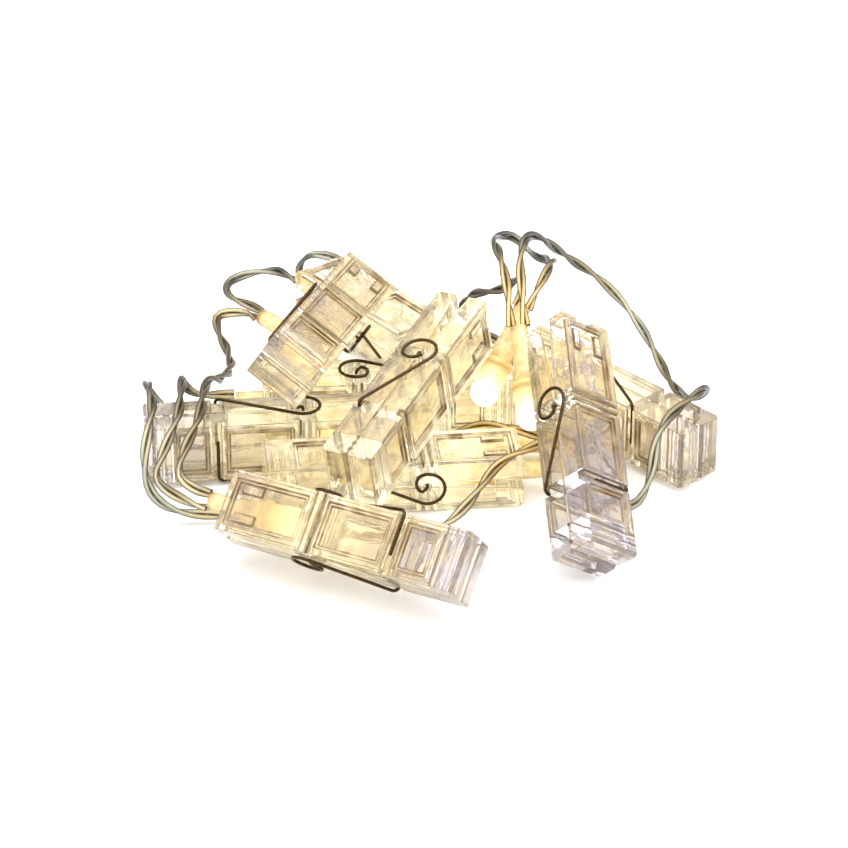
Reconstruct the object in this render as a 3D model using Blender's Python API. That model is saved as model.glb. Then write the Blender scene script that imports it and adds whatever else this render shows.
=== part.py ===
"""Clip string lights: small clear plastic pegs with wire springs, and a string of LEDs that sit in them.

The string lies in the loose pile that it is laid down in. Metres, +Z up, origin on the floor under the pile.
A peg is two moulded half shells on one bent spring wire. Its own frame has +X from the handles to the jaws,
+Y across it along the pivot, and +Z from the fixed half to the moving half, with its origin on the pivot.
"""

import math

import bmesh
import bpy
from mathutils import Matrix, Vector

MM = 0.001

# Peg: the driving dimensions
PEG_LENGTH = 44.0 * MM
PEG_WIDTH = 10.6 * MM
HALF_DEPTH = 4.7 * MM
PIVOT_FROM_HANDLE = 16.5 * MM
HANDLE_OPENING = 2.4 * MM        # between the two handle ends with the jaws shut
SKIN = 0.8 * MM                  # plastic over the hollows
SIDE_WALL = 1.0 * MM
END_WALL = 1.2 * MM
RIB = 3.8 * MM                   # the solid rib that holds the pivot
PLAY = 0.3 * MM                  # air between pieces that touch
OVERRUN = 1.0 * MM               # how far a cutter runs past what it cuts
EDGE = 0.5 * MM                  # broken outer edges

# Peg: outer face
WINDOW_SINK = 0.3 * MM
WINDOW_MARGIN = 1.3 * MM
GRIP_GROOVE = 0.7 * MM
GRIP_GROOVE_FROM_PIVOT = 0.75 * MM
HOOK_FROM_PIVOT = 15.0 * MM
JAW_WINDOW = 5.6 * MM            # length of the window in the jaw panel
JAW_TOOTH = 0.35 * MM
TOOTH_PITCH = 1.6 * MM
TEETH = 3

# Spring wire
WIRE = 0.8 * MM
LOOP_RADIUS = 2.9 * MM           # to the middle of the wire
LOOP_START = math.radians(-30.0)
LOOP_CENTRE_SHARE = 0.35         # where the spiral starts, as a share of the loop's radius
CORNER_RADIUS = 1.1 * MM
HOOK_REACH_SHARE = 0.68          # of the peg's width
POINTS_A_TURN = 10

# Light: a round LED and the sleeve over its soldered legs
LED_RADIUS = 2.5 * MM
LED_LENGTH = 8.6 * MM
FLANGE_RADIUS = 2.8 * MM
FLANGE = 1.0 * MM
SLEEVE_RADIUS = 1.6 * MM
SLEEVE_LENGTH = 10.0 * MM
LED_SIDES = 14

# Twisted pair
CORD = 2.1 * MM
CORD_SPREAD = 1.25 * MM          # from the sleeve's middle to each cord's
CORD_LEAD = 3.0 * MM             # straight run out of a sleeve
CORD_STEP = 4.8 * MM

RIBS_SIDE = RIB / 2
JAW_LENGTH = PEG_LENGTH - PIVOT_FROM_HANDLE
SEAM = PLAY / 2                                    # each half stops this far from the middle plane
HOOK_GROOVE = WIRE + 2 * PLAY
LED_DROP = HALF_DEPTH - SKIN - PLAY - FLANGE_RADIUS  # the light lies this far into the fixed half
LED_TIP = -RIBS_SIDE - PLAY
LED_BASE = LED_TIP - LED_LENGTH
SQUEEZE = math.asin(HANDLE_OPENING / PIVOT_FROM_HANDLE)
CHANNEL = SLEEVE_RADIUS + PLAY


for old in list(bpy.data.objects):
    bpy.data.objects.remove(old, do_unlink=True)


def material(name, colour, roughness, metallic=0.0, alpha=1.0):
    made = bpy.data.materials.new(name)
    made.use_nodes = True
    shader = made.node_tree.nodes["Principled BSDF"]
    shader.inputs["Base Color"].default_value = (*colour, 1.0)
    shader.inputs["Roughness"].default_value = roughness
    shader.inputs["Metallic"].default_value = metallic
    shader.inputs["Alpha"].default_value = alpha
    return made


CLEAR = material("clear_polystyrene", (0.93, 0.92, 0.90), 0.08, alpha=0.4)
STEEL = material("spring_steel", (0.42, 0.38, 0.32), 0.25, metallic=1.0)
LENS = material("led_epoxy", (1.0, 0.90, 0.62), 0.15)
SLEEVING = material("clear_sleeve", (0.86, 0.82, 0.68), 0.35)
INSULATION = material("wire_insulation", (0.66, 0.64, 0.55), 0.35)


def mesh_of(name, vertices, faces):
    made = bpy.data.meshes.new(name)
    made.from_pydata([tuple(v) for v in vertices], [], faces)
    made.validate()
    work = bmesh.new()
    work.from_mesh(made)
    bmesh.ops.recalc_face_normals(work, faces=work.faces)
    work.to_mesh(made)
    work.free()
    return made


def extruded(name, outline, half_width):
    """A closed solid from an outline in X and Z, along Y."""
    count = len(outline)
    vertices = [(x, -half_width, z) for x, z in outline] + [(x, half_width, z) for x, z in outline]
    faces = [tuple(range(count)), tuple(range(2 * count - 1, count - 1, -1))]
    for i in range(count):
        j = (i + 1) % count
        faces.append((i, i + count, j + count, j))
    return mesh_of(name, vertices, faces)


def box_mesh(name, low, high):
    outline = [(low[0], low[2]), (high[0], low[2]), (high[0], high[2]), (low[0], high[2])]
    made = extruded(name, outline, (high[1] - low[1]) / 2)
    made.transform(Matrix.Translation((0, (high[1] + low[1]) / 2, 0)))
    return made


def cut(solid, cutters):
    """The solid's mesh less the cutters' meshes."""
    body = bpy.data.objects.new("body", solid)
    bpy.context.collection.objects.link(body)
    tools = []
    for cutter in cutters:
        tool = bpy.data.objects.new("cutter", cutter)
        tool.hide_render = True
        tool.display_type = "WIRE"
        bpy.context.collection.objects.link(tool)
        tools.append(tool)
        step = body.modifiers.new("cut", "BOOLEAN")
        step.operation = "DIFFERENCE"
        step.solver = "EXACT"
        step.object = tool
    bpy.context.view_layer.update()
    seen = body.evaluated_get(bpy.context.evaluated_depsgraph_get())
    result = bpy.data.meshes.new_from_object(seen)
    for gone in [body] + tools:
        bpy.data.objects.remove(gone, do_unlink=True)
    return result


def half_outline():
    """Side view of the moving half, from the handle end along the outer face to the jaw tip and back."""
    handle = -PIVOT_FROM_HANDLE
    tip = JAW_LENGTH
    top = HALF_DEPTH
    points = [(handle, top - EDGE), (handle + EDGE, top)]
    for side in (-1, 1):
        middle = side * GRIP_GROOVE_FROM_PIVOT
        points += [
            (middle - GRIP_GROOVE / 2, top),
            (middle, top - GRIP_GROOVE),
            (middle + GRIP_GROOVE / 2, top),
        ]
    points += [
        (HOOK_FROM_PIVOT - HOOK_GROOVE / 2, top),
        (HOOK_FROM_PIVOT - HOOK_GROOVE / 2, top - HOOK_GROOVE),
        (HOOK_FROM_PIVOT + HOOK_GROOVE / 2, top - HOOK_GROOVE),
        (HOOK_FROM_PIVOT + HOOK_GROOVE / 2, top),
        (tip - EDGE, top),
        (tip, top - EDGE),
        (tip, SEAM + EDGE),
        (tip - EDGE, SEAM),
    ]
    for tooth in range(TEETH):
        start = tip - EDGE - TOOTH_PITCH * (tooth + 1 / 2)
        points += [
            (start, SEAM),
            (start - TOOTH_PITCH / 4, SEAM + JAW_TOOTH),
            (start - TOOTH_PITCH / 2, SEAM),
        ]
    seat = WIRE / 2 + PLAY
    for angle in (15, 50, 90, 130, 165):
        points.append((seat * math.cos(math.radians(angle)), seat * math.sin(math.radians(angle))))
    points += [(-seat - EDGE, SEAM), (handle, HANDLE_OPENING / 2)]
    return points


def half_mesh(name, holds_light):
    """A half shell: hollows open to the inside, shallow windows outside, a slot for the light's sleeve."""
    handle = -PIVOT_FROM_HANDLE
    inside = PEG_WIDTH / 2 - SIDE_WALL
    ceiling = HALF_DEPTH - SKIN
    window = PEG_WIDTH / 2 - WINDOW_MARGIN
    mid_start = RIBS_SIDE
    mid_end = HOOK_FROM_PIVOT - HOOK_GROOVE / 2 - SKIN
    jaw_start = HOOK_FROM_PIVOT + HOOK_GROOVE / 2 + SKIN
    jaw_end = jaw_start + JAW_WINDOW
    cradle = handle + END_WALL + SLEEVE_LENGTH / 3
    cutters = []
    hollows = [(mid_start, mid_end), (jaw_start, jaw_end)]
    if holds_light:
        hollows.append((cradle, -RIBS_SIDE))
        slot_depth = CHANNEL + LED_DROP
        slot_end = cradle + OVERRUN
    else:
        hollows.append((handle + END_WALL, -RIBS_SIDE))
        slot_depth = HANDLE_OPENING + CHANNEL - LED_DROP
        slot_end = handle + END_WALL + OVERRUN
    for start, end in hollows:
        cutters.append(box_mesh("hollow", (start, -inside, -OVERRUN), (end, inside, ceiling)))
    cutters.append(box_mesh("slot", (handle - OVERRUN, -CHANNEL, -OVERRUN), (slot_end, CHANNEL, slot_depth)))
    outside = HALF_DEPTH + OVERRUN
    sunk = HALF_DEPTH - WINDOW_SINK
    panels = [
        (handle + WINDOW_MARGIN, -RIBS_SIDE),
        (mid_start, mid_end),
        (jaw_start, jaw_end),
    ]
    for start, end in panels:
        cutters.append(box_mesh("window", (start, -window, sunk), (end, window, outside)))
    made = cut(extruded(name, half_outline(), PEG_WIDTH / 2), cutters)
    made.name = name
    if holds_light:
        made.transform(Matrix.Rotation(math.pi, 4, "X"))
    return made


def arc(centre, first, second, start, end, steps):
    """Points on a circle or spiral in the plane of two vectors, angles in radians."""
    places = []
    for step in range(steps + 1):
        angle = start + (end - start) * step / steps
        places.append(centre + first * math.cos(angle) + second * math.sin(angle))
    return places


def spring_side():
    """Half of the spring: from the pivot bar out, round the loop, along the arm and over the hook."""
    side = PEG_WIDTH / 2 + PLAY + WIRE / 2
    hook = Vector((HOOK_FROM_PIVOT, side, HALF_DEPTH - HOOK_GROOVE / 2))
    reach = math.hypot(hook.x, hook.z)
    leave = math.atan2(hook.z, hook.x) - math.acos(LOOP_RADIUS / reach) + math.tau
    points = [Vector((0, side - WIRE, 0)), Vector((WIRE / 4, side - WIRE / 4, 0))]
    steps = round((leave - LOOP_START) / math.tau * POINTS_A_TURN)
    for step in range(steps + 1):
        angle = LOOP_START + (leave - LOOP_START) * step / steps
        grown = min(1.0, LOOP_CENTRE_SHARE + (1 - LOOP_CENTRE_SHARE) * step / (POINTS_A_TURN / 4))
        radius = LOOP_RADIUS * grown
        points.append(Vector((radius * math.cos(angle), side, radius * math.sin(angle))))
    along = (hook - points[-1]).normalized()
    across = Vector((0, -1, 0))
    middle = hook - along * CORNER_RADIUS + across * CORNER_RADIUS
    points += arc(middle, -across * CORNER_RADIUS, along * CORNER_RADIUS, 0, math.pi / 2, 3)
    points.append(Vector((hook.x, PEG_WIDTH * (1 / 2 - HOOK_REACH_SHARE), hook.z)))
    return points


def spring_points():
    half = spring_side()
    other = [Vector((p.x, -p.y, -p.z)) for p in half]
    return other[::-1] + half


def turned(name, profile, sides):
    """A solid turned about X from a profile of (x, radius) points that starts and ends on the axis."""
    vertices = []
    rings = []
    for x, radius in profile:
        if radius == 0:
            rings.append([len(vertices)])
            vertices.append((x, 0, 0))
            continue
        ring = []
        for k in range(sides):
            angle = math.tau * k / sides
            ring.append(len(vertices))
            vertices.append((x, radius * math.cos(angle), radius * math.sin(angle)))
        rings.append(ring)
    faces = []
    for near, far in zip(rings, rings[1:]):
        for k in range(sides):
            n = (k + 1) % sides
            if len(near) == 1:
                faces.append((near[0], far[n], far[k]))
            elif len(far) == 1:
                faces.append((near[k], near[n], far[0]))
            else:
                faces.append((near[k], near[n], far[n], far[k]))
    return mesh_of(name, vertices, faces)


def led_mesh():
    """The light points along +X from its flange at zero."""
    profile = [(0, 0), (0, FLANGE_RADIUS), (FLANGE, FLANGE_RADIUS), (FLANGE, LED_RADIUS)]
    centre = LED_LENGTH - LED_RADIUS
    for step in range(5):
        angle = math.pi / 2 * step / 4
        radius = LED_RADIUS * math.cos(angle) if step < 4 else 0
        profile.append((centre + LED_RADIUS * math.sin(angle), radius))
    return turned("led", profile, LED_SIDES)


def sleeve_mesh():
    profile = [(0, 0), (0, SLEEVE_RADIUS), (SLEEVE_LENGTH, SLEEVE_RADIUS), (SLEEVE_LENGTH, 0)]
    return turned("sleeve", profile, LED_SIDES)


def tube(name, points, diameter, resolution, mat):
    line = bpy.data.curves.new(name, "CURVE")
    line.dimensions = "3D"
    line.bevel_depth = diameter / 2
    line.bevel_resolution = resolution
    line.use_fill_caps = True
    spline = line.splines.new("POLY")
    spline.points.add(len(points) - 1)
    for knot, place in zip(spline.points, points):
        knot.co = (*place, 1.0)
    line.materials.append(mat)
    return line


def placed(name, data, mat, parent=None, matrix=None):
    made = bpy.data.objects.new(name, data)
    bpy.context.collection.objects.link(made)
    if hasattr(data, "materials") and not data.materials:
        data.materials.append(mat)
    if parent is not None:
        made.parent = parent
    if matrix is not None:
        made.matrix_basis = matrix
    return made


def stance(place, yaw, pitch=0.0, roll=0.0):
    """A frame at a place: X turned by yaw, tipped up by pitch, then rolled about X, in degrees."""
    turn = Matrix.Rotation(math.radians(yaw), 4, "Z")
    tip = Matrix.Rotation(math.radians(-pitch), 4, "Y")
    spin = Matrix.Rotation(math.radians(roll), 4, "X")
    return Matrix.Translation(place) @ turn @ tip @ spin


def self_gap(points, reach):
    """The least air between parts of one wire that are further apart along it than the reach, in millimetres."""
    run = [0.0]
    for p, q in zip(points, points[1:]):
        run.append(run[-1] + (q - p).length)
    gaps = []
    for i, p in enumerate(points):
        gaps += [(p - q).length for j, q in enumerate(points) if run[j] - run[i] > reach]
    return (min(gaps) - WIRE) / MM


print("least gap inside a spring in mm", round(self_gap(spring_points(), LOOP_RADIUS), 2))

FIXED_HALF = half_mesh("fixed_half", True)
MOVING_HALF = half_mesh("moving_half", False)
SPRING = tube("spring", spring_points(), WIRE, 1, STEEL)
LED = led_mesh()
SLEEVE = sleeve_mesh()

# How a peg can lie: on its outer face, or on its edge with the spring's loop under it
FLAT = HALF_DEPTH
ON_EDGE = PEG_WIDTH / 2 + PLAY + WIRE

# Pivot places in shares of the peg's length, right and back from the middle of the picture
PEG_PLACE_SHARES = {
    "01": (-0.364, 0.102),
    "02": (-0.216, 0.693),
    "03": (-0.473, -0.341),
    "04": (-0.386, -1.161),
    "05": (0.582, -0.705),
    "06": (0.650, -0.020),
    "07": (-0.270, -0.048),
    "08": (0.000, -0.473),
}

# Heights of the pegs that lean on others, in shares of the peg's width
PEG_HEIGHT_SHARES = {"01": 1.790, "04": 0.887, "05": 1.860, "08": 1.985}
FLAT_PEGS = ("02", "09")

# How each peg is turned: yaw, pitch and roll in degrees
PEG_TURNS = {
    "01": (-106, 8, -33),
    "02": (-52, 0, 0),
    "03": (186, 0, 90),
    "04": (-27, 0, 44),
    "05": (-84, -30, -40),
    "06": (-47, 0, 90),
    "07": (4, 0, 90),
    "08": (-117, -12, -88),
    "09": (186, 0, 0),
}
LIT_PEGS = ("02", "03", "04", "06", "07", "09")

# Peg 09 lies beside peg 03, with its edge to that peg's face
NEIGHBOUR = "03"
BESIDE = "09"
ALONG_SHARE = -0.45

# Lights that lie loose: flange places in shares of the peg's length, and how they are turned
LIGHT_PLACE_SHARES = {
    "10": (0.293, -0.164),
    "11": (0.400, -0.339),
    "12": (-0.525, 0.605),
    "13": (0.295, -0.264),
}
LIGHT_HEIGHT_SHARES = {"10": 1.575, "11": 1.575}
LIGHT_TURNS = {"10": (-121, -40), "11": (-81, -40), "12": (-50, 0), "13": (178, 0)}
ON_FLANGE = FLANGE_RADIUS + PLAY / 6

# Where the origin is: the floor point under the middle of the pile, in shares of the peg's length
ORIGIN_SHARES = (0.021, -0.245)

# Which two lights a cord joins, the side of the sleeve that it leaves each on, and its route in millimetres
CORDS = {
    "1": ("13", 1, "03", -1, [(28.8, -14.5, 3.2), (29, -18, 4.5), (26, -20.4, 6), (22, -18.3, 7.2),
                              (16, -15.3, 7.8), (10, -13.8, 7.8)]),
    "2": ("11", 1, "09", 1, [(16.9, -1, 28.5), (16.8, 4, 30.7), (18, 11, 31.5), (21, 18, 27.5), (26, 25, 20),
                             (31.5, 29, 14), (36.5, 29, 8.5), (40.5, 24, 4.5), (43.5, 15, 2), (45.5, 6, 3),
                             (47.5, -1, 6), (49, -7, 10.8), (48, -12, 13.6), (44.5, -17.5, 14), (41.5, -22.5, 14),
                             (39.3, -27.5, 12.3), (38.3, -31, 7.5), (36, -33, 3.5), (32, -31, 2),
                             (28.5, -25.5, 2.7)]),
    "3": ("11", -1, "10", 1, [(14.4, -1.5, 28.2), (13.6, 4, 30.3), (12.6, 11, 30), (12.8, 18.5, 27.5),
                              (16, 24.3, 24.8), (19.8, 22.2, 22), (22.6, 13.5, 25.5), (22, 7.5, 27.5)]),
    "4": ("10", -1, "06", 1, [(16.5, 7.5, 25.5), (14.5, 11, 21.5), (11.6, 15.3, 18.5), (8.6, 20, 15.3),
                              (7, 22.4, 11.6), (8.4, 21.2, 8.3)]),
    "5": ("06", -1, "02", 1, [(9, 24, 4), (3, 33, 3), (-4, 42, 3), (-11, 50.5, 3), (-16.3, 57, 3.2),
                              (-21.6, 58, 3.5)]),
    "6": ("02", -1, "12", 1, [(-28, 52.5, 3), (-32.5, 53.5, 2), (-36.5, 50, 2), (-36.3, 43.5, 2.5)]),
    "7": ("12", -1, "04", 1, [(-38, 35, 3), (-37.5, 29, 2.5), (-35.5, 21, 3), (-34.5, 12, 4.5), (-36, 1, 8.5),
                              (-37.5, -6, 12.3), (-38, -14, 13.8), (-38.5, -23, 13.8), (-40.5, -31, 12.5),
                              (-41, -36.5, 11)]),
    "8": ("04", -1, "07", 1, [(-45, -35, 9), (-44, -29, 11.5), (-42, -22, 13.9), (-41.8, -12, 14),
                              (-42, -7, 13), (-41.8, -4, 9.8), (-39.5, -3.6, 8)]),
    "9": ("07", -1, "13", -1, [(-44, -3.2, 4.5), (-47.5, -3, 7), (-48.3, -6, 11.5), (-47.5, -11.5, 14), (-46.5, -18, 14),
                               (-46.8, -24, 13), (-47.5, -28.5, 9), (-46, -32, 4.5), (-41, -33.5, 2),
                               (-33, -33.5, 1.5), (-27.5, -36.3, 1.5), (-18, -39.5, 1.8), (-8, -43, 3),
                               (2, -45, 5.5), (8, -40, 8.5), (12.5, -32.5, 11), (19, -28.5, 12.3), (25.5, -25, 13.3),
                               (30.3, -18, 9.4), (30, -13.2, 6.4), (28.5, -10.9, 4.2)]),
}

ORIGIN = Vector((*ORIGIN_SHARES, 0)) * PEG_LENGTH


def laid(shares, height):
    """A place on the pile, from its shares of the peg's length and its height over the floor."""
    return Vector((shares[0] * PEG_LENGTH, shares[1] * PEG_LENGTH, height)) - ORIGIN


def height_of(number):
    if number in PEG_HEIGHT_SHARES:
        return PEG_HEIGHT_SHARES[number] * PEG_WIDTH
    return FLAT if number in FLAT_PEGS else ON_EDGE


def spot(place):
    """A point of a cord's route, in metres from the origin."""
    return Vector(place) * MM - ORIGIN


def light_at(number, parent, matrix):
    placed(f"led_{number}", LED, LENS, parent, matrix)
    back = matrix @ Matrix.Translation((-PLAY - SLEEVE_LENGTH, 0, 0))
    placed(f"led_{number}_sleeve", SLEEVE, SLEEVING, parent, back)
    return back


seats = {}
for number, shares in PEG_PLACE_SHARES.items():
    seats[number] = stance(laid(shares, height_of(number)), *PEG_TURNS[number])
near = stance(laid(PEG_PLACE_SHARES[NEIGHBOUR], 0), PEG_TURNS[NEIGHBOUR][0])
aside = HALF_DEPTH + PEG_WIDTH / 2 + WIRE + 2 * PLAY
place = near @ Vector((ALONG_SHARE * PEG_LENGTH, aside, height_of(BESIDE)))
seats[BESIDE] = stance(place, *PEG_TURNS[BESIDE])

exits = {}
for number, matrix in seats.items():
    seat = bpy.data.objects.new(f"peg_{number}", None)
    bpy.context.collection.objects.link(seat)
    seat.matrix_basis = matrix
    placed(f"peg_{number}_fixed_half", FIXED_HALF, CLEAR, seat)
    placed(f"peg_{number}_moving_half", MOVING_HALF, CLEAR, seat)
    placed(f"peg_{number}_spring", SPRING, STEEL, seat)
    if number in LIT_PEGS:
        back = light_at(number, seat, Matrix.Translation((LED_BASE, 0, -LED_DROP)))
        exits[number] = matrix @ back
for number, shares in LIGHT_PLACE_SHARES.items():
    height = LIGHT_HEIGHT_SHARES[number] * PEG_WIDTH if number in LIGHT_HEIGHT_SHARES else ON_FLANGE
    exits[number] = light_at(number, None, stance(laid(shares, height), *LIGHT_TURNS[number]))


def smooth(knots, spacing):
    """Points at even spacing along a curve that runs through all the knots."""
    fine = []
    ends = [knots[0]] + knots + [knots[-1]]
    for a, b, c, d in zip(ends, ends[1:], ends[2:], ends[3:]):
        for step in range(12):
            t = step / 12
            fine.append(
                (2 * b + (c - a) * t + (2 * a - 5 * b + 4 * c - d) * t * t + (3 * b - a - 3 * c + d) * t ** 3) / 2
            )
    fine.append(knots[-1])
    run = [0.0]
    for p, q in zip(fine, fine[1:]):
        run.append(run[-1] + (q - p).length)
    pieces = max(2, round(run[-1] / spacing))
    points = []
    at = 0
    for step in range(pieces + 1):
        want = run[-1] * step / pieces
        while at < len(fine) - 2 and run[at + 1] < want:
            at += 1
        share = (want - run[at]) / (run[at + 1] - run[at])
        points.append(fine[at].lerp(fine[at + 1], share))
    return points, run[-1]


for number, (start, start_side, end, end_side, route) in CORDS.items():
    knots = []
    for light, side in ((start, start_side), (end, end_side)):
        out = exits[light]
        offset = side * CORD_SPREAD
        knots.append([out @ Vector((-PLAY, offset, 0)), out @ Vector((-PLAY - CORD_LEAD, offset, 0))])
    line = knots[0] + [spot(p) for p in route] + knots[1][::-1]
    points, length = smooth(line, CORD_STEP)
    print("cord", number, "length in mm", round(length / MM, 1))
    placed(f"cord_{number}", tube(f"cord_{number}", points, CORD, 2, INSULATION), INSULATION)
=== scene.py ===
"""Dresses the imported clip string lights: cords, lights, clear pegs and springs, then floor and light."""

import math

import bmesh
import bpy
import numpy as np
from mathutils import Matrix, Vector


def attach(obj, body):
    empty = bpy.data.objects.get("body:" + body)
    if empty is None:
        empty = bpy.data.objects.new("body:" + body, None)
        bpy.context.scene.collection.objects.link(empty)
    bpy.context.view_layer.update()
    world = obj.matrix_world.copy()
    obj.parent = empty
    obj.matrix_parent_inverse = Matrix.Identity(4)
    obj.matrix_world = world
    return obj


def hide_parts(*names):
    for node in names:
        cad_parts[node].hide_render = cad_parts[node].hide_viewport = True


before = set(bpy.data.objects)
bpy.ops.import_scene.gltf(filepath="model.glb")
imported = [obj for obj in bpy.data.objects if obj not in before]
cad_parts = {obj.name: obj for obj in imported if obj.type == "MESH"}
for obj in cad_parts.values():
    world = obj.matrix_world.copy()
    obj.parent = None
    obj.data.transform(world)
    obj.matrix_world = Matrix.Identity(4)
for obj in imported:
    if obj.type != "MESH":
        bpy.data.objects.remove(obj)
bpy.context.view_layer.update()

# The photograph looks down on the pile by 30 degrees, from the front, with a long lens from well away.
# The pile's own origin is the floor point under its middle, which isn't quite the middle of the picture.
MM = 0.001
PEG_LENGTH = 44.0 * MM
ORIGIN_SHARES = (0.021, -0.245)
ORIGIN = Vector((*ORIGIN_SHARES, 0)) * PEG_LENGTH
CAMERA_ELEVATION = math.radians(30.0)
CAMERA_DISTANCE = 700.0 * MM
LENS = 167.9
SENSOR = 36
NEAR_LIMIT = 0.01

aim = -ORIGIN
back = Vector((0, -math.cos(CAMERA_ELEVATION), math.sin(CAMERA_ELEVATION)))
camera_data = bpy.data.cameras.new("camera")
camera_data.sensor_width = SENSOR
camera_data.lens = LENS
camera_data.clip_start = NEAR_LIMIT
camera = bpy.data.objects.new("camera", camera_data)
camera.location = aim + back * CAMERA_DISTANCE
camera.rotation_euler = (-back).to_track_quat("-Z", "Y").to_euler()
bpy.context.collection.objects.link(camera)
bpy.context.scene.camera = camera


# Cords. Each run between two lights is a pair of thin copper wires in clear soft PVC, loosely twisted.
# Both of its ends go into the sleeves of the lights that it joins, so the string is one line of lights.
PEG_WIDTH = 10.6 * MM
HALF_DEPTH = 4.7 * MM
WIRE = 0.8 * MM
PLAY = 0.3 * MM
SLEEVE_LENGTH = 10.0 * MM
FLANGE_RADIUS = 2.8 * MM
CORD_SPREAD = 1.25 * MM
CORD_LEAD = 3.0 * MM
CORD_STEP = 1.3 * MM
FINE_STEPS = 12
EVENING_PASSES = 14
STRAND = 0.92 * MM
TWIST = 19.0 * MM                # one whole turn of the pair
LED_BASE = -10.8 * MM            # along a peg, from its pivot
LED_DROP = 0.8 * MM              # into the peg's fixed half
LED_LENGTH = 8.6 * MM
FLAT = HALF_DEPTH
ON_EDGE = PEG_WIDTH / 2 + PLAY + WIRE
ON_FLANGE = FLANGE_RADIUS + PLAY / 6

# Pivot places in shares of the peg's length, right and back from the middle of the picture
PEG_PLACE_SHARES = {
    "01": (-0.364, 0.102),
    "02": (-0.216, 0.693),
    "03": (-0.473, -0.341),
    "04": (-0.386, -1.161),
    "05": (0.582, -0.705),
    "06": (0.650, -0.020),
    "07": (-0.270, -0.048),
    "08": (0.000, -0.473),
}

# Heights of the pegs that lean on others, in shares of the peg's width
PEG_HEIGHT_SHARES = {"01": 1.790, "04": 0.887, "05": 1.860, "08": 1.985}
FLAT_PEGS = ("02", "09")

# How each peg is turned: yaw, pitch and roll in degrees
PEG_TURNS = {
    "01": (-106, 8, -33),
    "02": (-52, 0, 0),
    "03": (186, 0, 90),
    "04": (-27, 0, 44),
    "05": (-84, -30, -40),
    "06": (-47, 0, 90),
    "07": (4, 0, 90),
    "08": (-117, -12, -88),
    "09": (186, 0, 0),
}
LIT_PEGS = ("02", "03", "04", "06", "07", "09")

# Peg 09 lies beside peg 03, with its edge to that peg's face
NEIGHBOUR = "03"
BESIDE = "09"
ALONG_SHARE = -0.45

# Lights that lie loose: flange places in shares of the peg's length, and how they are turned
LIGHT_PLACE_SHARES = {
    "10": (0.293, -0.164),
    "11": (0.400, -0.339),
    "12": (-0.525, 0.605),
    "13": (0.295, -0.264),
}
LIGHT_HEIGHT_SHARES = {"10": 1.575, "11": 1.575}
LIGHT_TURNS = {"10": (-121, -40), "11": (-81, -40), "12": (-50, 0), "13": (178, 0)}

# Which two lights a cord joins, the side of the sleeve that it leaves each on, and its route in millimetres
CORDS = {
    "1": ("13", 1, "03", -1, [
        (28.8, -14.5, 3.2), (29, -18, 4.5), (26, -20.4, 6), (22, -18.3, 7.2), (16, -15.3, 7.8),
        (10, -13.8, 7.8),
    ]),
    "2": ("11", 1, "09", 1, [
        (16.9, -1, 28.5), (16.8, 4, 30.7), (18, 11, 31.5), (21, 18, 27.5), (26, 25, 20), (31.5, 29, 14),
        (36.5, 29, 8.5), (40.5, 24, 4.5), (43.5, 15, 2), (45.5, 6, 3), (47.5, -1, 6), (49, -7, 10.8),
        (48, -12, 13.6), (44.5, -17.5, 14), (41.5, -22.5, 14), (39.3, -27.5, 12.3), (38.3, -31, 7.5),
        (36, -33, 3.5), (32, -31, 2), (28.5, -25.5, 2.7),
    ]),
    "3": ("11", -1, "10", 1, [
        (14.4, -1.5, 28.2), (13.6, 4, 30.3), (12.6, 11, 30), (12.8, 18.5, 27.5), (16, 24.3, 24.8),
        (19.8, 22.2, 22), (22.6, 13.5, 25.5), (22, 7.5, 27.5),
    ]),
    "4": ("10", -1, "06", 1, [
        (16.5, 7.5, 25.5), (14.5, 11, 21.5), (11.6, 15.3, 18.5), (8.6, 20, 15.3), (7, 22.4, 11.6),
        (8.4, 21.2, 8.3),
    ]),
    "5": ("06", -1, "02", 1, [
        (9, 24, 4), (3, 33, 3), (-4, 42, 3), (-11, 50.5, 3), (-16.3, 57, 3.2), (-21.6, 58, 3.5),
    ]),
    "6": ("02", -1, "12", 1, [(-28, 52.5, 3), (-32.5, 53.5, 2), (-36.5, 50, 2), (-36.3, 43.5, 2.5)]),
    "7": ("12", -1, "04", 1, [
        (-38, 35, 3), (-37.5, 29, 2.5), (-35.5, 21, 3), (-34.5, 12, 4.5), (-36, 1, 8.5), (-37.5, -6, 12.3),
        (-38, -14, 13.8), (-38.5, -23, 13.8), (-40.5, -31, 12.5), (-41, -36.5, 11),
    ]),
    "8": ("04", -1, "07", 1, [
        (-45, -35, 9), (-44, -29, 11.5), (-42, -22, 13.9), (-41.8, -12, 14), (-42, -7, 13), (-41.8, -4, 9.8),
        (-39.5, -3.6, 8),
    ]),
    "9": ("07", -1, "13", -1, [
        (-44, -3.2, 4.5), (-47.5, -3, 7), (-48.3, -6, 11.5), (-47.5, -11.5, 14), (-46.5, -18, 14),
        (-46.8, -24, 13), (-47.5, -28.5, 9), (-46, -32, 4.5), (-41, -33.5, 2), (-33, -33.5, 1.5),
        (-27.5, -36.3, 1.5), (-18, -39.5, 1.8), (-8, -43, 3), (2, -45, 5.5), (8, -40, 8.5), (12.5, -32.5, 11),
        (19, -28.5, 12.3), (25.5, -25, 13.3), (30.3, -18, 9.4), (30, -13.2, 6.4), (28.5, -10.9, 4.2),
    ]),
}


def spot(place):
    return Vector(place) * MM - ORIGIN


def laid(shares, height):
    """A place on the pile, from its shares of the peg's length and its height over the floor."""
    return Vector((shares[0] * PEG_LENGTH, shares[1] * PEG_LENGTH, height)) - ORIGIN


def height_of(number):
    if number in PEG_HEIGHT_SHARES:
        return PEG_HEIGHT_SHARES[number] * PEG_WIDTH
    return FLAT if number in FLAT_PEGS else ON_EDGE


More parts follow.
